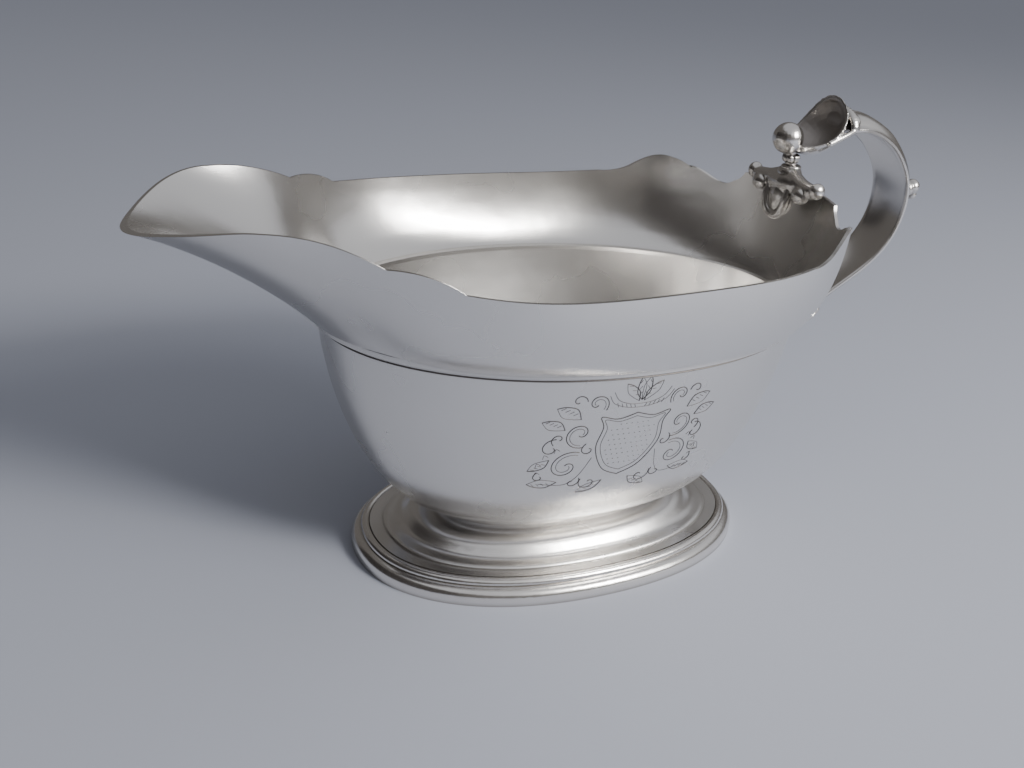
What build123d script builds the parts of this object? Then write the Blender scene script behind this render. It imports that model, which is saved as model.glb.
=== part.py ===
from build123d import *
from math import atan2, cos, pi, sin
import os

# A silver sauce boat, all sizes in millimetres.
# The foot stands on z = 0 with its centre at the origin. The spout points along -X,
# the handle along +X, and the boat is symmetric about the plane y = 0.

os.makedirs("parts", exist_ok=True)

# ---------------------------------------------------------------- driving dimensions
SHEET = 1.1                # thickness of the raised silver sheet
WALL_SHEET = 0.8           # the upper wall is a little thinner, with a bare cut edge

FOOT_LENGTH = 50.4         # half-length of the foot where it stands on the table
FOOT_WIDTH = 33.0          # half-width of the foot there
WIRE_WIDTH = 4.3           # the moulded wire around the edge of the foot
WIRE_HEIGHT = 5.2          # height of the wire's inner edge

NECK_LENGTH = 29.0         # half-length of the narrow ring between foot and bowl
NECK_WIDTH = 15.9
NECK_HEIGHT = 10.0         # where the ring sits on the foot
BOWL_BOTTOM = 13.4         # where the ring meets the bowl

LEDGE_LENGTH = 58.8        # half-length of the step between bowl and upper wall
LEDGE_WIDTH = 42.9
LEDGE_HEIGHT = 60.0
LEDGE_X = -0.9
LEDGE_STEP = 1.2           # how far the upper wall stands out over the bowl
LEDGE_THICK = 1.0

SPOUT_TIP = -97.3          # how far the spout reaches
RIM_BACK = 63.0            # the middle of the rim behind the handle's bracket
STRAP_HALF = 6.2           # half-width of the handle
STRAP_CROWN = 3.9          # thickness of the handle at its rounded outer face
BALL_RADIUS = 3.7


# ---------------------------------------------------------------- shared outlines
def oval_point(half_length, half_width, fullness, angle, x_centre=0.0):
    """A point of a slightly squared oval; fullness 2 is a plain ellipse."""
    c = cos(angle)
    s = sin(angle)
    x = half_length * abs(c) ** (2 / fullness) * (1 if c >= 0 else -1)
    y = half_width * abs(s) ** (2 / fullness) * (1 if s >= 0 else -1)
    return (x_centre + x, y)


def oval_points(half_length, half_width, fullness, x_centre=0.0):
    """The points that every oval outline runs through."""
    return [
        oval_point(half_length, half_width, fullness, 2 * pi * step / 20, x_centre)
        for step in range(20)
    ]


def oval_face(half_length, half_width, height, fullness=2.1, x_centre=0.0):
    """Sketch an oval at a height, so that lofts and extrusions share one outline."""
    with BuildSketch(Plane.XY.offset(height)) as outline:
        with BuildLine():
            Spline(*oval_points(half_length, half_width, fullness, x_centre), periodic=True)
        make_face()
    return outline.sketch.face()


def finish(part, label):
    """Name a finished piece and write it."""
    part.label = label
    export_step(part, f"parts/{label}.step")
    print(label, "volume mm3", round(part.volume, 1))


# ---------------------------------------------------------------- bowl
# The bowl is raised from one sheet. Each ring of its wall is an oval that grows
# quickly just above the neck and stands almost upright at the ledge.
BOWL_TOP_LENGTH = LEDGE_LENGTH - LEDGE_STEP
BOWL_TOP_WIDTH = LEDGE_WIDTH - LEDGE_STEP
BOWL_RINGS = 14


def bowl_ring(u):
    """Half-length, half-width and height of the outer wall; u = 0 bottom, 1 top."""
    rise = u ** 2.2
    grow_length = (1 - (1 - rise) ** 1.5) ** (1 / 2.2)
    grow_width = (1 - (1 - rise) ** 1.15) ** (1 / 2.3)
    length = NECK_LENGTH + (BOWL_TOP_LENGTH - NECK_LENGTH) * grow_length
    width = NECK_WIDTH + (BOWL_TOP_WIDTH - NECK_WIDTH) * grow_width
    height = BOWL_BOTTOM + (LEDGE_HEIGHT - BOWL_BOTTOM) * rise
    return length, width, height


bowl_outside = []
bowl_inside = []
for step in range(BOWL_RINGS + 1):
    u = step / BOWL_RINGS
    length, width, height = bowl_ring(u)
    lift = 1.3 * SHEET * (1 - u)
    inset = SHEET * (0.6 + 0.4 * u)
    fullness = 2.4 - 0.36 * u
    shift = LEDGE_X * u
    bowl_outside.append(oval_face(length, width, height, fullness, shift))
    bowl_inside.append(oval_face(length - inset, width - inset, height + lift, fullness, shift))

with BuildPart() as bowl_block:
    loft(bowl_outside)

with BuildPart() as bowl:
    add(bowl_block.part)
    loft(bowl_inside, mode=Mode.SUBTRACT)
finish(bowl.part, "bowl")

# ---------------------------------------------------------------- upper wall and spout
# The upper wall is one sheet that springs from the ledge. Seen from above, its rim is
# the outline below, from the spout's tip round one side to the middle of the back.
rim_side = [
    (-92.4, 18.0),
    (-81.0, 25.2),
    (-67.5, 30.0),
    (-52.0, 38.8),
    (-34.5, 47.4),
    (-14.0, 49.9),
    (8.0, 48.8),
    (30.0, 45.2),
    (46.0, 36.6),
    (57.5, 21.5),
]
rim_other_side = [(x, -y) for x, y in reversed(rim_side)]
rim_plan = Spline((SPOUT_TIP, 0), *rim_side, (RIM_BACK, 0), *rim_other_side, periodic=True)

WALL_LINES = 36            # lines that run from ledge to rim, around half the wall
WALL_STEPS = 11            # points along each line
RISE_OVER = 1.18           # the sheet is made too tall, then cut to the rim's shape


def blend(value, start, end):
    """0 before start, 1 after end, and a smooth step between."""
    t = min(max((value - start) / (end - start), 0.0), 1.0)
    return t * t * (3 - 2 * t)


def rim_height(angle):
    """Height of the uncut sheet around the wall; angle pi is the spout."""
    front = blend(angle, 0.60 * pi, 0.84 * pi)
    tip = blend(angle, 0.90 * pi, pi)
    back = blend(angle, 0.30 * pi, 0.12 * pi)
    return 79.5 + 8.0 * front - 5.0 * tip + 5.5 * back


def wall_curve(angle):
    """Two handles of the curve from ledge to rim, as (outward, upward) fractions."""
    spout = blend(angle, 0.72 * pi, 0.88 * pi)
    tip = blend(angle, 0.88 * pi, pi)
    low_side, high_side = (0.50, 0.12), (0.90, 0.50)
    low_spout, high_spout = (0.28, 0.45), (0.80, 0.82)
    low_tip, high_tip = (0.28, 0.46), (0.70, 0.90)
    low = [
        a + (b - a) * spout + (c - b) * tip
        for a, b, c in zip(low_side, low_spout, low_tip)
    ]
    high = [
        a + (b - a) * spout + (c - b) * tip
        for a, b, c in zip(high_side, high_spout, high_tip)
    ]
    return low, high


def wall_point(rim_at, s):
    """A point of the outer wall; s = 0 on the ledge, 1 on the rim's envelope."""
    rim_x = rim_at.X
    rim_y = rim_at.Y
    angle = abs(atan2(rim_y / LEDGE_WIDTH, (rim_x - LEDGE_X) / LEDGE_LENGTH))
    foot_x, foot_y = oval_point(LEDGE_LENGTH, LEDGE_WIDTH, 2.0, angle, LEDGE_X)
    low, high = wall_curve(angle)
    t = min(s, 1.0)
    out = 3 * t * (1 - t) ** 2 * low[0] + 3 * t * t * (1 - t) * high[0] + t ** 3
    up = 3 * t * (1 - t) ** 2 * low[1] + 3 * t * t * (1 - t) * high[1] + t ** 3
    if s > 1.0:
        out += 3 * (s - 1) * (1 - high[0])
        up += 3 * (s - 1) * (1 - high[1])
    top = rim_height(angle)
    return Vector(
        foot_x + (rim_x - foot_x) * out,
        foot_y + (rim_y - foot_y) * out,
        LEDGE_HEIGHT + (top - LEDGE_HEIGHT) * up,
    )


def mirrored(point):
    return Vector(point.X, -point.Y, point.Z)


# The grid of points runs a little past the plane of symmetry at both ends, so that the
# half wall can be cut exactly on it and mirrored.
rim_points = [rim_plan @ (0.5 * line / WALL_LINES) for line in range(WALL_LINES + 1)]
rim_points[0] = Vector(SPOUT_TIP, 0)
rim_points[WALL_LINES] = Vector(RIM_BACK, 0)
rows = []
for line in range(-2, WALL_LINES + 3):
    inside = min(abs(line), 2 * WALL_LINES - line)
    rim_at = rim_points[inside]
    row = [wall_point(rim_at, RISE_OVER * step / WALL_STEPS) for step in range(WALL_STEPS + 1)]
    if line < 0 or line > WALL_LINES:
        row = [mirrored(point) for point in row]
    rows.append(row)
wall_sheet = Face.make_surface_from_array_of_points(rows, tol=0.02, min_deg=3, max_deg=3)

# What stands above the rim: its steps and humps, seen from the side and, at the back,
# seen along the boat.
with BuildPart() as above_rim:
    with BuildSketch(Plane.XZ.offset(-80)):
        with BuildLine():
            Spline((-105, 83.5), (-97.3, 82.2), (-92.0, 84.2), (-84.0, 86.9), (-76.0, 87.7))
            Spline((-76.0, 87.7), (-67.0, 86.6), (-61.0, 84.7), (-56.4, 82.6))
            ThreePointArc((-56.4, 82.6), (-49.4, 82.0), (-44.1, 79.5))
            Spline((-44.1, 79.5), (-36.0, 78.9), (-22.0, 78.6), (0.0, 78.8), (20.0, 79.1), (30.5, 79.8))
            ThreePointArc((30.5, 79.8), (34.5, 80.1), (38.0, 81.4))
            Spline((38.0, 81.4), (42.0, 84.0), (45.5, 85.2), (48.8, 84.6), (51.0, 83.0))
            Line((51.0, 83.0), (51.0, 120.0))
            Line((51.0, 120.0), (-105.0, 120.0))
            Line((-105.0, 120.0), (-105.0, 83.5))
        make_face()
    extrude(amount=160)
    with BuildSketch(Plane.YZ.offset(50.9)):
        with BuildLine():
            back = Spline((33.0, 83.2), (28.0, 82.6), (22.8, 80.7), (19.6, 82.0))
            step_up = ThreePointArc((19.6, 82.0), (18.0, 83.2), (17.2, 84.6))
            crest = Line((17.2, 84.6), (0.0, 85.6))
            mirror(back, Plane.YZ)
            mirror(step_up, Plane.YZ)
            mirror(crest, Plane.YZ)
            Line((33.0, 83.2), (33.0, 120.0))
            Line((33.0, 120.0), (-33.0, 120.0))
            Line((-33.0, 120.0), (-33.0, 83.2))
        make_face()
    extrude(amount=30)

# The flat step at the foot of the wall, which sits on the bowl's edge.
with BuildPart() as ledge_ring:
    extrude(
        oval_face(LEDGE_LENGTH + 0.4, LEDGE_WIDTH + 0.4, LEDGE_HEIGHT, 2.04, LEDGE_X),
        amount=LEDGE_THICK,
    )
    extrude(
        oval_face(BOWL_TOP_LENGTH - SHEET, BOWL_TOP_WIDTH - SHEET, LEDGE_HEIGHT, 2.04, LEDGE_X),
        amount=LEDGE_THICK,
        mode=Mode.SUBTRACT,
    )

with BuildPart() as collar:
    thicken(wall_sheet, amount=WALL_SHEET)
    split(bisect_by=Plane.XZ, keep=Keep.BOTTOM)
    mirror(about=Plane.XZ)
    split(bisect_by=Plane.XY.offset(LEDGE_HEIGHT + LEDGE_THICK), keep=Keep.TOP)
    add(above_rim.part, mode=Mode.SUBTRACT)
    add(ledge_ring.part)
finish(collar.part, "collar")

# ---------------------------------------------------------------- foot
# The foot is a low raised dome: a rounded shoulder around the neck, then a shallow
# brim. A moulded wire, soldered around its edge, stands on the table.
NECK_OPEN = 2.4            # how far the dome runs in under the neck ring
FOOT_FULLNESS = 2.2

# Height of the dome's outer face against how far out it is, from neck to wire.
DOME_RINGS = [
    (0.00, 10.0),
    (0.16, 9.9),
    (0.30, 9.5),
    (0.41, 8.7),
    (0.48, 7.6),
    (0.54, 6.6),
    (0.64, 6.0),
    (0.80, 5.6),
    (1.00, WIRE_HEIGHT),
]
DOME_LENGTH = FOOT_LENGTH - WIRE_WIDTH
DOME_WIDTH = FOOT_WIDTH - WIRE_WIDTH


def dome_ring(out, height, inset):
    length = NECK_LENGTH + (DOME_LENGTH - NECK_LENGTH) * out - inset
    width = NECK_WIDTH + (DOME_WIDTH - NECK_WIDTH) * out - inset
    return oval_face(length, width, height, FOOT_FULLNESS + 0.2 * (1 - out))


with BuildPart() as foot_dome:
    loft([dome_ring(out, height, 0) for out, height in DOME_RINGS])
    extrude(dome_ring(1.0, WIRE_HEIGHT - SHEET, 0), amount=SHEET)
    loft([dome_ring(out, height - SHEET, 0.5) for out, height in DOME_RINGS], mode=Mode.SUBTRACT)
    extrude(dome_ring(0.0, 8.0, NECK_OPEN), amount=4, mode=Mode.SUBTRACT)
finish(foot_dome.part, "foot_dome")

# The wire's section: a small bead inside, a groove, and a large roll that stands on
# the table. It is drawn at the wide end of the foot, swept round it, and its underside
# is filed flat so that the boat stands without rocking.
FILED_OFF = 0.5

with BuildPart() as foot_wire:
    with BuildLine() as foot_path:
        Spline(*oval_points(DOME_LENGTH, DOME_WIDTH, FOOT_FULLNESS), periodic=True)
    with BuildSketch(Plane.XZ.move(Location((DOME_LENGTH, 0, 0)))):
        with BuildLine():
            Line((0, -FILED_OFF), (0, WIRE_HEIGHT - 0.3))
            ThreePointArc((0, WIRE_HEIGHT - 0.3), (1.1, WIRE_HEIGHT + 0.2), (2.1, 3.9))
            ThreePointArc((2.1, 3.9), (3.7, 3.1), (WIRE_WIDTH, 1.3))
            Line((WIRE_WIDTH, 1.3), (WIRE_WIDTH, -FILED_OFF))
            Line((WIRE_WIDTH, -FILED_OFF), (0, -FILED_OFF))
        make_face()
    sweep(path=foot_path.line)
    split(bisect_by=Plane.XY, keep=Keep.TOP)
finish(foot_wire.part, "foot_wire")

# The neck ring: a short hollow drum with a concave side between foot and bowl.
NECK_RINGS = [(NECK_HEIGHT, 0.0), (NECK_HEIGHT + 0.9, 0.9), (BOWL_BOTTOM - 1.0, 0.9), (BOWL_BOTTOM, 0.0)]

with BuildPart() as neck_ring:
    loft(
        [
            oval_face(NECK_LENGTH - waist, NECK_WIDTH - waist, height, 2.4)
            for height, waist in NECK_RINGS
        ]
    )
    extrude(
        oval_face(NECK_LENGTH - NECK_OPEN, NECK_WIDTH - NECK_OPEN, NECK_HEIGHT, 2.4),
        amount=BOWL_BOTTOM - NECK_HEIGHT,
        mode=Mode.SUBTRACT,
    )
finish(neck_ring.part, "neck_ring")

# ---------------------------------------------------------------- handle
# The handle is one broad strap with a flat inner face and a rounded outer face. It
# leaves the bowl just under the ledge, swings out and up, and runs forward into an
# open leaf. The points below are the strap's two edges, seen from the side.
STRAP_ROUTE = [
    (54.0, 47.6),
    (64.5, 52.4),
    (74.5, 58.9),
    (85.5, 66.6),
    (91.4, 75.4),
    (91.3, 85.5),
    (85.0, 93.6),
    (75.5, 97.6),
    (66.5, 97.5),
]
STRAP_SECTIONS = 12


def strap_section(place, half, crown):
    """The strap's section, flat side inwards, across the handle's route."""
    with BuildSketch(place) as section:
        with BuildLine():
            ThreePointArc((-half, 0), (0, -crown), (half, 0))
            ThreePointArc((half, 0), (0, -0.2 * crown), (-half, 0))
        make_face()
    return section.sketch.face()


with BuildLine(Plane.XZ) as strap_route:
    Spline(*STRAP_ROUTE)
strap_faces = []
for step in range(STRAP_SECTIONS + 1):
    along = step / STRAP_SECTIONS
    swell = blend(along, 0.0, 0.35)
    heading = strap_route.line % along
    place = Plane(origin=strap_route.line @ along, x_dir=(0, 1, 0), z_dir=heading)
    strap_faces.append(
        strap_section(place, STRAP_HALF * (0.62 + 0.38 * swell), STRAP_CROWN * (0.7 + 0.3 * swell))
    )

BALL_PLACE = (56.0, 0, 96.9)
LEAF_PLACE = (62.7, 0, 101.1)
LEAF_LONG = 8.4            # half the length of the open leaf
LEAF_WIDE = 7.2            # its half-width; its mouth is cut a little below the widest place
LEAF_DEEP = 7.2
LEAF_TILT = 46.0           # the leaf leans back by this angle
MOUTH_PLACE = (58.4, 0, 105.4)
MOUTH_RADIUS = 9.9         # the mouth is cut to this curve, seen from the side

with BuildPart() as leaf_block:
    Sphere(radius=1)
    scale(by=(LEAF_LONG, LEAF_WIDE, LEAF_DEEP))
leaf_outer = leaf_block.part.rotate(Axis.Y, -LEAF_TILT).translate(LEAF_PLACE)

with BuildPart() as leaf_core:
    Sphere(radius=1)
    scale(by=(LEAF_LONG - 0.9, LEAF_WIDE - 0.9, LEAF_DEEP - 0.9))
leaf_inner = leaf_core.part.rotate(Axis.Y, -LEAF_TILT).translate(LEAF_PLACE)

with BuildPart() as ball_terminal:
    with Locations(BALL_PLACE):
        Sphere(radius=BALL_RADIUS)
finish(ball_terminal.part, "ball_terminal")

with BuildPart() as handle_leaf:
    add(leaf_outer)
    add(leaf_inner, mode=Mode.SUBTRACT)
    with Locations(Location(MOUTH_PLACE, (90, 0, 0))):
        Cylinder(radius=MOUTH_RADIUS, height=40, mode=Mode.SUBTRACT)
    add(ball_terminal.part, mode=Mode.SUBTRACT)
finish(handle_leaf.part, "handle_leaf")

with BuildPart() as handle_strap:
    loft(strap_faces)
    add(leaf_outer, mode=Mode.SUBTRACT)
    add(bowl_block.part, mode=Mode.SUBTRACT)
finish(handle_strap.part, "handle_strap")

# ---------------------------------------------------------------- bracket on the rim
# A cast scroll sits astride the back of the rim. It carries the ball on a short
# turned strut; a roll lies across the rim and a curled leaf hangs inside the wall.
STRUT_TOP = (57.3, 94.4)
STRUT_BOTTOM = (58.6, 89.4)
ROLL_PLACE = (57.8, 0, 86.4)
ROLL_HALF = 11.4
KNOB_RADIUS = 2.0


def ellipse_face(place, half_x, half_y):
    with BuildSketch(place) as section:
        Ellipse(half_x, half_y)
    return section.sketch.face()


strut_heading = Vector(STRUT_TOP[0] - STRUT_BOTTOM[0], 0, STRUT_TOP[1] - STRUT_BOTTOM[1])
strut_plane = Plane(
    origin=(STRUT_BOTTOM[0], 0, STRUT_BOTTOM[1]), x_dir=(0, 1, 0), z_dir=strut_heading
)
strut_length = strut_heading.length
with BuildPart() as handle_strut:
    with BuildSketch(Plane(strut_plane.origin, strut_plane.x_dir, strut_plane.y_dir)):
        with BuildLine():
            Line((0, 0), (2.2, 0))
            ThreePointArc((2.2, 0), (2.5, -0.8), (1.9, -1.6))
            ThreePointArc((1.9, -1.6), (1.5, -2.1), (1.9, -2.6))
            ThreePointArc((1.9, -2.6), (2.2, -3.2), (1.7, -3.8))
            Line((1.7, -3.8), (1.5, -strut_length))
            Line((1.5, -strut_length), (0, -strut_length))
            Line((0, -strut_length), (0, 0))
        make_face()
    revolve(axis=Axis((STRUT_BOTTOM[0], 0, STRUT_BOTTOM[1]), strut_heading))
    add(ball_terminal.part, mode=Mode.SUBTRACT)
    add(handle_leaf.part, mode=Mode.SUBTRACT)
finish(handle_strut.part, "handle_strut")

with BuildPart() as rim_bracket:
    with Locations(Location(ROLL_PLACE, (90, 0, 0))):
        Cylinder(radius=2.3, height=2 * ROLL_HALF - 3)
    for side in (-1, 1):
        with Locations((ROLL_PLACE[0], side * ROLL_HALF, ROLL_PLACE[2])):
            Sphere(radius=KNOB_RADIUS)
    loft(
        [
            ellipse_face(Plane((ROLL_PLACE[0] + 0.2, 0, 85.2)), 3.4, 8.2),
            ellipse_face(Plane((ROLL_PLACE[0] + 0.4, 0, 87.6)), 2.9, 4.6),
            ellipse_face(Plane((STRUT_BOTTOM[0], 0, STRUT_BOTTOM[1])), 2.2, 2.3),
        ]
    )
    with BuildLine(Plane.XZ) as leaf_fall:
        Spline((58.0, 87.0), (54.6, 85.6), (53.6, 81.6), (54.8, 78.2), (57.4, 77.6))
    fall_start = Plane(leaf_fall.line @ 0, (0, 1, 0), leaf_fall.line % 0)
    sweep(ellipse_face(fall_start, 4.6, 1.5), path=leaf_fall.line)
    add(collar.part, mode=Mode.SUBTRACT)
    add(handle_strut.part, mode=Mode.SUBTRACT)
    add(ball_terminal.part, mode=Mode.SUBTRACT)
finish(rim_bracket.part, "rim_bracket")

# ---------------------------------------------------------------- bud and tail
# A small bud with a round tip stands out from the back of the strap. Under the strap's
# lower end a short tail leaves the bowl and curls up to a round tip.
BUD_TIP = (100.4, 0, 82.9)
with BuildPart() as strap_bud:
    with Locations(Location((97.4, 0, 83.0), (0, 90, 0))):
        Cylinder(radius=1.5, height=5.0)
    with Locations(BUD_TIP):
        Sphere(radius=2.0)
    with Locations((91.5, 0, 83.0)):
        Box(7.0, 8.0, 10.0, mode=Mode.SUBTRACT)
    add(handle_strap.part, mode=Mode.SUBTRACT)
finish(strap_bud.part, "strap_bud")

TAIL_TIP = (75.4, 51.5)
with BuildLine(Plane.XZ) as tail_route:
    Spline((53.5, 46.6), (61.0, 48.4), (68.0, 48.6), (73.2, 49.6), TAIL_TIP)
tail_faces = []
for step in range(7):
    along = step / 6
    place = Plane(tail_route.line @ along, (0, 1, 0), tail_route.line % along)
    tail_faces.append(ellipse_face(place, 2.8 - 2.1 * along, 1.4 - 0.7 * along))
with BuildPart() as strap_tail:
    loft(tail_faces)
    with Locations((TAIL_TIP[0], 0, TAIL_TIP[1])):
        Sphere(radius=1.1)
    add(bowl_block.part, mode=Mode.SUBTRACT)
    add(handle_strap.part, mode=Mode.SUBTRACT)
finish(strap_tail.part.solids().sort_by(SortBy.VOLUME)[-1], "strap_tail")
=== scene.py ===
# %% [markdown]
# # A silver sauce boat
# The boat's solid parts come from the CAD model and stay the frame for everything here.
# This lesson gives them the look of old polished silver, replaces the small cast pieces
# with softer, chased shapes, draws the engraving, and sets the boat on a pale sheet.

# %% Load the frame
import bpy
from math import cos, hypot, pi, radians, sin
from mathutils import Matrix, Vector


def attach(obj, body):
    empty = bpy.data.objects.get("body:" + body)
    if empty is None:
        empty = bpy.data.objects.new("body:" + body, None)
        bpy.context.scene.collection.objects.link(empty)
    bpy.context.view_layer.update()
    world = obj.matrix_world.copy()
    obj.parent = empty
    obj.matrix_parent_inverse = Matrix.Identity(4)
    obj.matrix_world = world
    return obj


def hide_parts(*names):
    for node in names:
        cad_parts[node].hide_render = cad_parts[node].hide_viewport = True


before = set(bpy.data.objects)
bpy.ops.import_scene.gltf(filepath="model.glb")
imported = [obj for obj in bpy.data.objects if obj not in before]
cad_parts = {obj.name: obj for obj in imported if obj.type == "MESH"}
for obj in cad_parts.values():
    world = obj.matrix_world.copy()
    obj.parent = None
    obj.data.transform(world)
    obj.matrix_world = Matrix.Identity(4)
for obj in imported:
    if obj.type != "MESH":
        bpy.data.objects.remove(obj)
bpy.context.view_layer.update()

# %% [markdown]
# ## The camera
# The boat is seen from its spout side, a little above the rim, by a small camera held
# with a slight roll. Azimuth, elevation and roll are turned into one rotation, so that
# each can be changed on its own.

# %% Camera
VIEW_AZIMUTH = radians(-26.44)
VIEW_ELEVATION = radians(23.88)
VIEW_ROLL = radians(4.36)
VIEW_TARGET = Vector((-0.01296, 0.0, 0.04038))
VIEW_DISTANCE = 0.24315

camera_data = bpy.data.cameras.new("view")
camera_data.lens = 36.27
camera_data.sensor_width = 36.0
camera_data.clip_start = 0.01
camera = bpy.data.objects.new("view", camera_data)
bpy.context.scene.collection.objects.link(camera)
view_turn = (
    Matrix.Rotation(VIEW_AZIMUTH, 4, "Z")
    @ Matrix.Rotation(pi / 2 - VIEW_ELEVATION, 4, "X")
    @ Matrix.Rotation(VIEW_ROLL, 4, "Z")
)
view_back = view_turn @ Vector((0, 0, 1))
camera.matrix_world = Matrix.Translation(VIEW_TARGET + VIEW_DISTANCE * view_back) @ view_turn
bpy.context.scene.camera = camera
print("camera at", tuple(round(value, 4) for value in camera.location))

# %% [markdown]
# ## Helpers for materials
# Colours are written as sRGB hex, as a paint chart gives them, and one function turns
# them into the linear values that the shader works with. Another adds a node, sets its
# values and links its inputs. A third makes a material of one even colour.


# %% Colour and node helpers
def linear(hex_colour):
    channels = [int(hex_colour[place : place + 2], 16) / 255 for place in (1, 3, 5)]
    converted = [c / 12.92 if c <= 0.04045 else ((c + 0.055) / 1.055) ** 2.4 for c in channels]
    return (*converted, 1.0)


def add_node(tree, kind, settings=None, **inputs):
    """Add a node; each input is a value or another node's output."""
    node = tree.nodes.new(kind)
    for name, value in (settings or {}).items():
        setattr(node, name, value)
    for name, value in inputs.items():
        if name.startswith("in_"):
            socket = node.inputs[int(name[3:])]
        else:
            socket = node.inputs[name.replace("_", " ")]
        if isinstance(value, bpy.types.NodeSocket):
            tree.links.new(value, socket)
        else:
            socket.default_value = value
    return node


def new_material(name):
    material = bpy.data.materials.new(name)
    material.use_nodes = True
    material.node_tree.nodes.clear()
    return material, material.node_tree


def plain_finish(name, colour, metallic, roughness):
    """One even colour, for paper, cloth and dark lines."""
    material, tree = new_material(name)
    shader = add_node(
        tree, "ShaderNodeBsdfPrincipled", Base_Color=linear(colour), Metallic=metallic,
        Roughness=roughness,
    )
    add_node(tree, "ShaderNodeOutputMaterial", Surface=shader.outputs["BSDF"])
    return material


# %% [markdown]
# ## Old silver
# Sterling silver is almost white and very bright, but a boat that has been polished by
# hand for centuries is satin, not a mirror: fine scratches run every way, and a little
# tarnish stays where a cloth doesn't reach.
# One function makes each finish. Scratches are noise stretched along one direction,
# about 0.3 mm apart; two sets cross each other. Soft hammer marks, about 12 mm across,
# are left from raising the sheet. Corners that ambient occlusion finds from the geometry
# are darkened: partly tarnish, partly painted shade, as under the ledge and in hollows.


# %% Silver finishes
def silver_finish(name, colour, tarnish_and_shade, roughness, planish, scratch, corner):
    """planish and scratch are bump heights in metres; corner is how far the darkening spreads, tarnish and
    painted shade.
    """
    material, tree = new_material(name)
    place = add_node(tree, "ShaderNodeTexCoord").outputs["Object"]
    bumps = None
    for turn in (0.5, 2.1):
        along = add_node(
            tree, "ShaderNodeMapping", Vector=place, Rotation=(0.3, turn, turn),
            Scale=(1.0, 14.0, 14.0),
        )
        lines = add_node(
            tree, "ShaderNodeTexNoise", Vector=along.outputs["Vector"], Scale=260.0, Detail=3.0,
            Roughness=0.6,
        )
        bump = add_node(
            tree, "ShaderNodeBump", Height=lines.outputs["Fac"], Strength=0.5, Distance=scratch
        )
        if bumps is not None:
            tree.links.new(bumps.outputs["Normal"], bump.inputs["Normal"])
        bumps = bump
    hammer = add_node(tree, "ShaderNodeTexNoise", Vector=place, Scale=85.0, Detail=1.5)
    hammered = add_node(
        tree, "ShaderNodeBump", Height=hammer.outputs["Fac"], Strength=1.0, Distance=planish,
        Normal=bumps.outputs["Normal"],
    )
    cloud = add_node(tree, "ShaderNodeTexNoise", Vector=place, Scale=35.0, Detail=3.0, Roughness=0.5)
    satin = add_node(
        tree, "ShaderNodeMapRange", Value=cloud.outputs["Fac"],
        in_1=0.1, in_2=0.9, in_3=roughness - 0.04, in_4=roughness + 0.05,
    )
    # Ambient occlusion darkens corners towards the second colour: partly tarnish, partly painted shade.
    shade = add_node(tree, "ShaderNodeAmbientOcclusion", {"samples": 8}, Distance=corner)
    dark = add_node(
        tree, "ShaderNodeMapRange", Value=shade.outputs["AO"],
        in_1=0.35, in_2=0.92, in_3=1.0, in_4=0.0,
    )
    tint = add_node(
        tree, "ShaderNodeMix", {"data_type": "RGBA"}, in_0=dark.outputs["Result"],
        in_6=linear(colour), in_7=linear(tarnish_and_shade),
    )
    shader = add_node(
        tree, "ShaderNodeBsdfPrincipled", Base_Color=tint.outputs[2], Metallic=1.0,
        Roughness=satin.outputs["Result"], Normal=hammered.outputs["Normal"],
    )
    add_node(tree, "ShaderNodeOutputMaterial", Surface=shader.outputs["BSDF"])
    return material


# Each finish's second colour is the tarnish and painted shade that darkens its corners.
raised_silver = silver_finish("raised silver sheet", "#e9e7e4", "#7f7972", 0.26, 0.00012, 0.000010, 0.0022)
drawn_silver = silver_finish("drawn silver wire", "#ebe8e4", "#8f8a83", 0.22, 0.00004, 0.000008, 0.0015)
cast_silver = silver_finish("cast silver", "#dcd9d5", "#4c4742", 0.25, 0.00003, 0.000006, 0.005)
# Darker colour for the leaf's hollow: painted shade, on a rough, dull finish.
dull_shaded_silver = silver_finish("dull cast silver with painted hollow shade", "#aba6a2", "#85807b", 0.5, 0.00003, 0.000010, 0.003)

finish_of = {
    "bowl": raised_silver,
    "collar": raised_silver,
    "neck_ring": raised_silver,
    "foot_dome": raised_silver,
    "foot_wire": drawn_silver,
}
for name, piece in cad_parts.items():
    piece.data.materials.clear()
    piece.data.materials.append(finish_of.get(name, cast_silver))
print("finishes given to", len(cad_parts), "nodes")

# %% [markdown]
# ## Shaping tools
# The handle and its bracket are castings: soft, full forms that flow into each other
# where they were soldered and cleaned up. A caster builds the wax from balls and rolls
# pressed together, and the same works here: balls are set along a line, joined, and a
# remesh turns them into one skin, which is then smoothed.
# Balls could instead be metaballs, but those can't be squashed one by one.

# %% Wax helpers
MM = 0.001


def clear_selection():
    bpy.ops.object.select_all(action="DESELECT")


def ball(place, size, turn=(0.0, 0.0, 0.0)):
    """A ball of wax; place and half-sizes are in millimetres, turn in radians."""
    clear_selection()
    bpy.ops.mesh.primitive_uv_sphere_add(
        segments=24, ring_count=16, radius=MM, location=[MM * value for value in place], rotation=turn
    )
    lump = bpy.context.active_object
    lump.scale = size
    bpy.ops.object.transform_apply(location=True, rotation=True, scale=True)
    return lump


def on_line(points, along):
    """A point on a smooth line through the points (Catmull-Rom), along from 0 to 1."""
    spans = len(points) - 1
    span = min(int(along * spans), spans - 1)
    t = along * spans - span
    before = Vector(points[max(span - 1, 0)])
    start = Vector(points[span])
    end = Vector(points[span + 1])
    after = Vector(points[min(span + 2, spans)])
    return 0.5 * (
        2 * start + (end - before) * t + (2 * before - 5 * start + 4 * end - after) * t * t
        + (3 * start - before - 3 * end + after) * t ** 3
    )


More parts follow.
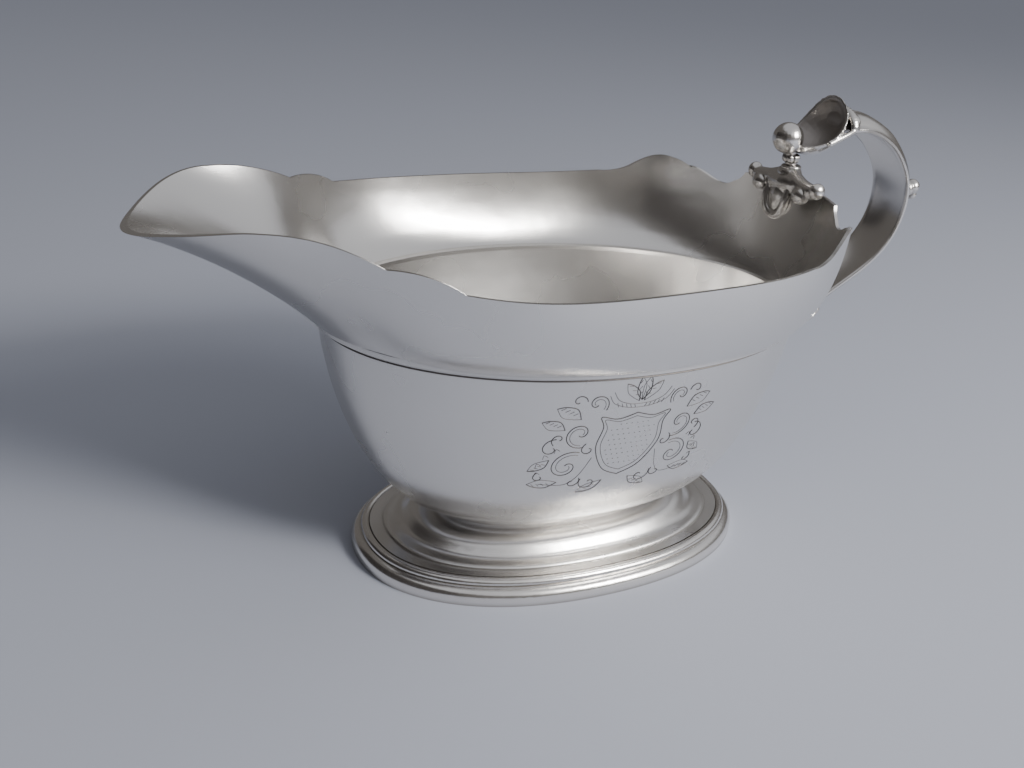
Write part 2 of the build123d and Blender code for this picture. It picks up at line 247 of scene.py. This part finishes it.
def roll_of_wax(points, start_size, end_size, count):
    """Balls along a line, their half-sizes going from start to end."""
    lumps = []
    for step in range(count + 1):
        along = step / count
        size = [a + (b - a) * along for a, b in zip(start_size, end_size)]
        lumps.append(ball(on_line(points, along), size))
    return lumps


def cast(name, lumps, grain, softness, replaced):
    """Join the wax, turn it into one skin and hand it to the frame."""
    clear_selection()
    for lump in lumps:
        lump.select_set(True)
    bpy.context.view_layer.objects.active = lumps[0]
    bpy.ops.object.join()
    piece = bpy.context.active_object
    piece.name = name
    skin = piece.modifiers.new("skin", "REMESH")
    skin.mode = "VOXEL"
    skin.voxel_size = grain * MM
    skin.use_smooth_shade = True
    bpy.ops.object.modifier_apply(modifier="skin")
    soft = piece.modifiers.new("soft", "SMOOTH")
    soft.factor = 0.5
    soft.iterations = softness
    bpy.ops.object.modifier_apply(modifier="soft")
    piece.data.materials.clear()
    piece.data.materials.append(cast_silver)
    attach(piece, "root")
    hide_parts(*replaced)
    print(name, len(piece.data.polygons), "faces")
    return piece


# %% [markdown]
# ## The handle's strap
# A broad strap, flat inside and rounded outside, with a thin lip along both edges and a
# fine rib down the middle. It is one section carried along one route, so it is made as
# a curve with a section for its bevel, and narrowed at its lower end by the radius of
# the route's points.

# %% Strap
STRAP_ROUTE = [
    (54.0, 47.6), (64.5, 52.4), (74.5, 58.9), (85.5, 66.6), (91.4, 75.4),
    (91.6, 85.5), (85.6, 94.0), (77.6, 98.4), (69.8, 99.5),
]
STRAP_HALF_SECTION = [
    (0.0, 0.55), (2.6, 0.45), (4.8, 0.12), (5.7, -0.1), (6.2, 0.15),
    (6.15, 0.7), (5.4, 1.1), (5.0, 1.55), (4.3, 2.5), (3.0, 3.3),
    (1.5, 3.75), (1.15, 3.65), (0.8, 3.72), (0.4, 3.95), (0.0, 4.0),
]
STRAP_STEPS = 40
LOWER_END = 0.64            # the strap's width at its lower end, against its full width
TAPER_STEPS = 16
UPPER_SWELL = 0.1           # how much it widens again towards the leaf


def curve_object(name, points, closed=False, radii=None, kind="NURBS"):
    data = bpy.data.curves.new(name, "CURVE")
    data.dimensions = "3D"
    spline = data.splines.new(kind)
    spline.points.add(len(points) - 1)
    for index, point in enumerate(points):
        spline.points[index].co = (*[MM * value for value in point], 1.0)
        if radii:
            spline.points[index].radius = radii[index]
    spline.use_cyclic_u = closed
    if kind == "NURBS":
        spline.order_u = 4
        spline.use_endpoint_u = not closed
    curve = bpy.data.objects.new(name, data)
    bpy.context.scene.collection.objects.link(curve)
    return curve


section_points = [(width, -height, 0.0) for width, height in STRAP_HALF_SECTION]
section_points += [(-width, -height, 0.0) for width, height in reversed(STRAP_HALF_SECTION[1:-1])]
strap_section = curve_object("strap_section", section_points, closed=True, kind="POLY")
route_points = [(x, 0.0, z) for x, z in STRAP_ROUTE]
smooth_route = [on_line(route_points, step / STRAP_STEPS) for step in range(STRAP_STEPS + 1)]
strap_radii = []
for step in range(STRAP_STEPS + 1):
    taper = (1 - LOWER_END) * min(1.0, step / TAPER_STEPS) ** 0.7
    swell = UPPER_SWELL * max(0.0, step / (STRAP_STEPS / 2) - 1)
    strap_radii.append(LOWER_END + taper + swell)
strap = curve_object("strap", smooth_route, radii=strap_radii)
strap.data.bevel_mode = "OBJECT"
strap.data.bevel_object = strap_section
strap.data.use_fill_caps = True
strap.data.resolution_u = 4
clear_selection()
strap.select_set(True)
bpy.context.view_layer.objects.active = strap
bpy.ops.object.convert(target="MESH")
bpy.data.objects.remove(strap_section)
bpy.ops.object.shade_smooth_by_angle(angle=radians(50))
strap.data.materials.clear()
strap.data.materials.append(cast_silver)
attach(strap, "root")
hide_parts("handle_strap")
print("strap", len(strap.data.polygons), "faces")

# %% [markdown]
# ## The open leaf and its ball
# At its top the strap spreads into an open leaf, hollow like a spoon, whose lower lip
# runs forward into a ball. The hollow is cut from a solid lump with two booleans: one
# for the inside, one for the curve of the mouth. The ball is added after the cut.

# %% Open leaf
LEAF_PLACE = (62.7, 0.0, 100.7)
LEAF_TURN = (0.0, radians(-46.0), 0.0)
BALL_PLACE = (56.0, 0.0, 96.9)
BALL_RADIUS = 3.75
LEAF_SIZE = (8.4, 8.5, 7.1)
LEAF_HOLLOW = (7.6, 7.7, 6.3)
MOUTH_PLACE = (56.5, 0.0, 107.1)
MOUTH_RADIUS = 11.6
leaf = ball(LEAF_PLACE, LEAF_SIZE, LEAF_TURN)
leaf_hollow = ball(LEAF_PLACE, LEAF_HOLLOW, LEAF_TURN)
clear_selection()
bpy.ops.mesh.primitive_cylinder_add(
    vertices=128, radius=MOUTH_RADIUS * MM, depth=0.04,
    location=[MM * value for value in MOUTH_PLACE], rotation=(pi / 2, 0, 0),
)
leaf_mouth = bpy.context.active_object
for cutter in (leaf_hollow, leaf_mouth):
    clear_selection()
    bpy.context.view_layer.objects.active = leaf
    cut = leaf.modifiers.new("cut", "BOOLEAN")
    cut.object = cutter
    cut.operation = "DIFFERENCE"
    cut.solver = "EXACT"
    bpy.ops.object.modifier_apply(modifier="cut")
    bpy.data.objects.remove(cutter)
leaf_tip = roll_of_wax(
    [(59.6, 0, 94.6), (57.6, 0, 94.6), (56.0, 0, 95.4)], (1.2, 3.2, 0.9), (1.2, 2.2, 1.2), 5
)

# Where the leaf meets the strap: a fillet behind the leaf, a lip along each edge, and a
# band over the strap's end.
leaf_socket = [ball((71.2, 0, 101.2), (2.2, 6.7, 3.0))]
for side in (-1, 1):
    lip = [
        (62.6, 7.6 * side, 96.9), (67.4, 7.1 * side, 98.6),
        (70.8, 6.5 * side, 99.6), (74.5, 6.2 * side, 99.6),
    ]
    leaf_socket += roll_of_wax(lip, (0.8, 0.7, 0.8), (0.6, 0.5, 0.6), 24)
for step in range(25):
    angle = pi * step / 24
    leaf_socket.append(ball((70.4, 6.3 * cos(angle), 99.9 + 4.1 * sin(angle)), (1.3, 0.9, 0.9)))
leaf_ball = ball(BALL_PLACE, (BALL_RADIUS, BALL_RADIUS, BALL_RADIUS))
open_leaf = cast(
    "open_leaf", [leaf, leaf_ball, *leaf_tip, *leaf_socket], 0.16, 4,
    ["handle_leaf", "ball_terminal"],
)

# The hollow keeps the dull, rough skin it had from the mould, where no cloth reaches; its darker colour is
# painted shade inside the hollow.
open_leaf.data.materials.append(dull_shaded_silver)
hollow_turn = Matrix.Rotation(-LEAF_TURN[1], 3, "Y")
for face in open_leaf.data.polygons:
    inward = hollow_turn @ (face.center / MM - Vector(LEAF_PLACE))
    reach = Vector([part / size for part, size in zip(inward, LEAF_HOLLOW)]).length
    on_ball = (face.center / MM - Vector(BALL_PLACE)).length < 4.2
    if reach < 1.05 and not on_ball:
        face.material_index = 1

# %% [markdown]
# ## The strut and the bracket
# Under the ball stands a short strut like a tiny turned baluster, ringed with beads. It
# grows out of a cast bracket that sits over the rim: shoulders like a cloak, a roll
# across the rim that ends in two knobs, and a leaf that curls down inside the wall.

# %% Strut and bracket
strut = [
    ball((58.5, 0, 89.9), (2.5, 2.5, 0.9)),
    ball((58.2, 0, 91.2), (1.5, 1.5, 1.6)),
    ball((57.5, 0, 93.6), (1.6, 1.6, 1.2)),
]
for step in range(8):
    angle = 2 * pi * step / 8
    strut.append(ball((58.0 + 1.45 * cos(angle), 1.45 * sin(angle), 92.1), (0.75, 0.75, 1.05)))
cast("strut", strut, 0.1, 3, ["handle_strut"])

bracket = [
    ball((58.3, 0, 88.4), (2.8, 3.4, 2.2)),
    ball((57.8, 0, 85.9), (3.0, 7.4, 3.4)),
    ball((56.9, 0, 82.4), (2.5, 3.9, 4.7)),
]
for side in (-1, 1):
    shoulder = [(58.0, 2.0 * side, 87.2), (57.7, 6.0 * side, 86.2), (57.4, 10.2 * side, 86.0)]
    bracket += roll_of_wax(shoulder, (2.4, 2.4, 2.5), (1.8, 1.5, 1.8), 18)
    bracket.append(ball((57.4, 11.9 * side, 86.6), (2.0, 1.6, 2.0)))
    bracket.append(ball((56.3, 7.6 * side, 84.6), (2.0, 2.6, 2.1)))
    leaf_edge = [
        (56.4, 3.4 * side, 86.0), (55.3, 3.7 * side, 82.8), (55.1, 2.9 * side, 80.0),
        (55.4, 1.5 * side, 78.6), (55.5, 0.0, 78.3),
    ]
    bracket += roll_of_wax(leaf_edge, (0.8, 0.9, 1.0), (1.2, 1.1, 1.2), 44)
cast("bracket", bracket, 0.15, 12, ["rim_bracket"])

# %% [markdown]
# ## The bud and the tail
# A bud with a small round tip breaks the outline of the strap where a finger would
# press, and a tail curls away under the strap's lower end.

# %% Bud and tail
bud = [
    ball((96.0, 0, 83.0), (2.0, 2.8, 3.0)),
    ball((97.9, 0, 83.1), (1.8, 2.0, 2.1)),
    ball((99.8, 0, 83.6), (1.9, 2.0, 2.0)),
    ball((100.2, 0, 81.5), (1.3, 1.4, 1.3)),
]
cast("bud", bud, 0.12, 3, ["strap_bud"])
tail_line = [(55.5, 0, 47.0), (61.0, 0, 48.4), (68.0, 0, 48.6), (73.2, 0, 49.6), (75.2, 0, 51.3)]
tail = roll_of_wax(tail_line, (1.4, 2.6, 1.3), (0.8, 0.9, 0.7), 20)
tail.append(ball((75.2, 0, 51.4), (1.1, 1.1, 1.1)))
cast("tail", tail, 0.15, 3, ["strap_tail"])

# %% [markdown]
# ## The engraving
# The side of the bowl is engraved with a shield in a frame of scrolls and leaves. The
# shield is left empty and the leaves are of no family. An engraver cuts hair lines with
# a burin and swells the main ones, so there are two weights of line here.
# The lines are drawn flat beside the bowl, pressed onto it with a shrinkwrap, and given
# their thickness afterwards, so that they follow its curve. They could be painted with a
# texture, but a drawn line stays sharp however close one looks.

# %% Engraving lines
SHIELD_PLACE = (-3.5, 43.5)
bold_lines = []
hair_lines = []


def smooth_line(points, steps=18):
    flat_points = [(across, up, 0.0) for across, up in points]
    spaced = [on_line(flat_points, step / steps) for step in range(steps + 1)]
    return [(point.x, point.y) for point in spaced]


def scroll(eye, size, turns, start, hand):
    """A line that winds into an eye; hand is 1 for anticlockwise."""
    count = int(30 * turns)
    line = []
    for step in range(count + 1):
        radius = size * (0.14 + 0.86 * (1 - step / count) ** 1.25)
        angle = radians(start) + hand * 2 * pi * turns * step / count
        line.append((eye[0] + radius * cos(angle), eye[1] + radius * sin(angle)))
    return line


def leaf_lines(base, tip, belly, veins=4):
    """Two curved edges that meet at the tip, and short veins on one side."""
    run = (tip[0] - base[0], tip[1] - base[1])
    length = hypot(*run)
    side = (-run[1] / length, run[0] / length)

    def edge(along, out):
        return tuple(base[axis] + run[axis] * along + side[axis] * out for axis in (0, 1))

    bold_lines.append(smooth_line([base, edge(0.35, belly), edge(0.75, 0.7 * belly), tip]))
    hair_lines.append(smooth_line([base, edge(0.3, -0.5 * belly), edge(0.65, -0.75 * belly), tip]))
    for vein in range(veins):
        along = 0.25 + 0.5 * vein / max(1, veins - 1)
        hair_lines.append([edge(along, 0.55 * belly), edge(along + 0.1, 0.05 * belly)])


HALF_SHIELD = [
    (0.0, -10.5), (4.4, -8.0), (7.4, -2.0), (7.0, 3.4), (8.0, 6.2), (4.2, 5.4), (0.0, 6.6),
]
for lines, scale in ((bold_lines, 1.0), (hair_lines, 0.87)):
    lines.append(smooth_line([(scale * across, scale * up) for across, up in HALF_SHIELD], 40))

# Rows of dots fill the shield, fewer towards its point and its top.
for row in range(9):
    for dot in range(5):
        place = (0.55 + 1.25 * dot + 0.6 * (row % 2), 4.0 - 1.35 * row)
        if place[0] < 5.6 - 0.085 * (row - 3) ** 2 and (row > 0 or dot < 3):
            hair_lines.append([place, (place[0] + 0.22, place[1] - 0.12)])

# Scrolls beside and below the shield, some with a hair line inside them, and the two
# lines of a wreath across its top.
bold_lines += [
    scroll((11.6, 2.2), 3.9, 1.15, -110, 1),
    scroll((12.6, -6.8), 4.4, 1.2, 115, -1),
    scroll((9.8, 9.6), 2.8, 1.0, 215, -1),
    scroll((16.9, -1.6), 2.7, 0.9, 100, -1),
    scroll((6.2, -12.0), 2.5, 0.95, 30, -1),
    scroll((8.9, -2.2), 1.9, 0.9, 60, -1),
    scroll((15.9, 1.0), 1.8, 0.85, -60, 1),
    scroll((13.7, 10.4), 1.8, 0.85, 180, -1),
    scroll((10.2, -11.6), 1.8, 0.9, 140, 1),
    scroll((17.7, -9.6), 1.6, 0.8, 60, -1),
]
hair_lines += [
    scroll((11.6, 2.2), 3.2, 0.85, -100, 1),
    scroll((12.6, -6.8), 3.6, 0.9, 120, -1),
    scroll((9.8, 9.6), 2.2, 0.7, 220, -1),
    smooth_line([(7.6, -4.6), (9.4, -9.8), (12.0, -12.2), (17.4, -11.6)]),
    smooth_line([(0.0, 8.0), (2.8, 8.2), (6.0, 9.4), (7.4, 11.4)]),
    smooth_line([(0.0, 8.9), (2.6, 9.1), (5.2, 10.2), (6.6, 12.2)]),
]

# Leaves at the ends of the scrolls, and three that stand up from the wreath.
leaf_lines((12.4, 6.0), (17.8, 8.8), 1.7)
leaf_lines((15.2, 3.4), (20.2, 5.4), 1.4)
leaf_lines((16.8, -4.6), (20.6, -7.6), -1.3)
leaf_lines((13.6, -11.2), (19.8, -11.6), -1.4)
leaf_lines((3.2, -11.8), (8.4, -15.0), -1.3)
leaf_lines((0.6, 9.6), (4.2, 14.0), 1.2, 3)
leaf_lines((0.0, 9.8), (1.0, 15.4), -1.1, 3)

# Small petals round the lower scroll, and the hatching of the wreath.
for petal in range(4):
    turn = radians(28 * petal - 20)
    across, up = 12.6 + 5.6 * cos(turn), -6.8 + 5.2 * sin(turn)
    hair_lines.append(smooth_line([(across, up), (across + 0.9, up + 0.5), (across + 1.0, up - 0.6)], 6))
for hatch in range(5):
    foot = (1.0 + hatch, 8.0 + 0.12 * hatch)
    hair_lines.append([foot, (foot[0] + 0.4, 8.8 + 0.18 * hatch)])
print(len(bold_lines), "bold and", len(hair_lines), "hair lines on one half")

# %% [markdown]
# ## Pressing lines onto the bowl
# A line is drawn as bare points, turned into a mesh that a shrinkwrap can move, laid on
# the bowl, and turned back into a curve for its thickness. The engraving is pushed
# straight in from the side, so that it isn't stretched; the seam goes to the nearest
# point.

# %% Press the lines onto the bowl
cut_silver = plain_finish("silver, dark in the cut", "#4a4644", 0.7, 0.5)


def thread_on_bowl(name, lines, closed, wrap_method, half_width, finish):
    """Lines in millimetres become one thread that lies on the bowl."""
    data = bpy.data.curves.new(name, "CURVE")
    data.dimensions = "3D"
    for line in lines:
        spline = data.splines.new("POLY")
        spline.points.add(len(line) - 1)
        for point, place in zip(spline.points, line):
            point.co = (*[MM * value for value in place], 1.0)
        spline.use_cyclic_u = closed
    thread = bpy.data.objects.new(name, data)
    bpy.context.scene.collection.objects.link(thread)
    clear_selection()
    thread.select_set(True)
    bpy.context.view_layer.objects.active = thread
    bpy.ops.object.convert(target="MESH")
    press = thread.modifiers.new("press", "SHRINKWRAP")
    press.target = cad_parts["bowl"]
    press.wrap_method = wrap_method
    press.use_project_y = True
    press.use_positive_direction = True
    press.use_negative_direction = False
    bpy.ops.object.modifier_apply(modifier="press")
    bpy.ops.object.convert(target="CURVE")
    thread.data.bevel_depth = half_width * MM
    thread.data.bevel_resolution = 1
    thread.data.use_fill_caps = not closed
    bpy.ops.object.convert(target="MESH")
    thread.data.materials.clear()
    thread.data.materials.append(finish)
    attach(thread, "root")
    print(name, len(thread.data.polygons), "faces")


def both_halves(lines):
    """The drawn half and its mirror image, set beside the bowl around the shield."""
    placed = []
    for line in lines:
        for hand in (-1, 1):
            placed.append(
                [(SHIELD_PLACE[0] + hand * across, -60.0, SHIELD_PLACE[1] + up) for across, up in line]
            )
    return placed


thread_on_bowl("engraving_bold", both_halves(bold_lines), False, "PROJECT", 0.1, cut_silver)
thread_on_bowl("engraving_hair", both_halves(hair_lines), False, "PROJECT", 0.06, cut_silver)

# %% [markdown]
# ## The shadow under the ledge
# Where the upper wall's ledge overhangs the bowl, a dark line of painted shadow runs along
# the seam. It is drawn as an oval thread, pulled onto the bowl just under the ledge, and
# given a thickness of about a third of a millimetre.

# %% Painted shadow under the ledge
SEAM_HEIGHT = 58.7
SEAM_LENGTH = 58.0          # half the oval's length and half its width
SEAM_WIDTH = 42.2
SEAM_X = -0.9
SEAM_POINTS = 180
seam_line = []
for index in range(SEAM_POINTS):
    angle = 2 * pi * index / SEAM_POINTS
    seam_line.append((SEAM_LENGTH * cos(angle) + SEAM_X, SEAM_WIDTH * sin(angle), SEAM_HEIGHT))
# A dark grey thread: painted shadow along the seam under the ledge.
ledge_shadow_silver = plain_finish("painted shadow under the ledge", "#77726e", 0.8, 0.5)
thread_on_bowl("solder_seam", [seam_line], True, "NEAREST_SURFACEPOINT", 0.18, ledge_shadow_silver)

# %% [markdown]
# ## The table
# The boat stands on a sheet of pale blue-grey paper, much larger than the view, so that
# no edge of it shows in the silver.

# %% Floor
clear_selection()
bpy.ops.mesh.primitive_plane_add(size=30.0, location=(0, 0, 0))
floor = bpy.context.active_object
floor.name = "floor"
floor.data.materials.append(plain_finish("paper", "#a5a9b5", 0.0, 0.8))

# %% [markdown]
# ## Light on silver
# Silver shows its room more than itself. A large window to the right and in front gives
# the soft shadow; a smaller lamp near it gives the bright patch inside the far wall; a
# wide, weak sky fills in from above. A black cloth out of view on the left keeps that
# side of the bowl dark, as a photographer's flag does.


# %% Lights
def soft_light(name, place, aim, size, power, colour):
    data = bpy.data.lights.new(name, "AREA")
    data.shape = "RECTANGLE"
    data.size = size[0]
    data.size_y = size[1]
    data.energy = power
    data.color = linear(colour)[:3]
    light = bpy.data.objects.new(name, data)
    bpy.context.scene.collection.objects.link(light)
    light.location = place
    light.rotation_euler = (Vector(aim) - Vector(place)).to_track_quat("-Z", "Y").to_euler()
    return light


soft_light("window", (0.76, -0.95, 0.72), (0, 0, 0.05), (0.6, 0.6), 11.5, "#f6f4f2")
soft_light("lamp", (0.36, -0.62, 0.46), (0, 0, 0.06), (0.2, 0.16), 6.5, "#fffdfa")

sky = bpy.data.lights.new("ceiling", "SUN")
sky.angle = radians(110)
sky.energy = 1.1
sky.color = linear("#e9edf6")[:3]
ceiling = bpy.data.objects.new("ceiling", sky)
ceiling.rotation_euler = (radians(12), radians(18), 0)
bpy.context.scene.collection.objects.link(ceiling)

# %% Black cloth
clear_selection()
bpy.ops.mesh.primitive_plane_add(
    size=1.0, location=(-0.5, -0.05, 0.25), rotation=(0, pi / 2, 0)
)
flag = bpy.context.active_object
flag.name = "flag"
flag.scale = (0.5, 1.3, 1.0)
bpy.ops.object.transform_apply(location=False, rotation=True, scale=True)
flag.data.materials.append(plain_finish("black cloth", "#2c2826", 0.0, 0.9))

# %% Room
world = bpy.data.worlds.new("room")
bpy.context.scene.world = world
world.use_nodes = True
room = world.node_tree.nodes["Background"]
room.inputs["Color"].default_value = linear("#8a8683")
room.inputs["Strength"].default_value = 0.5
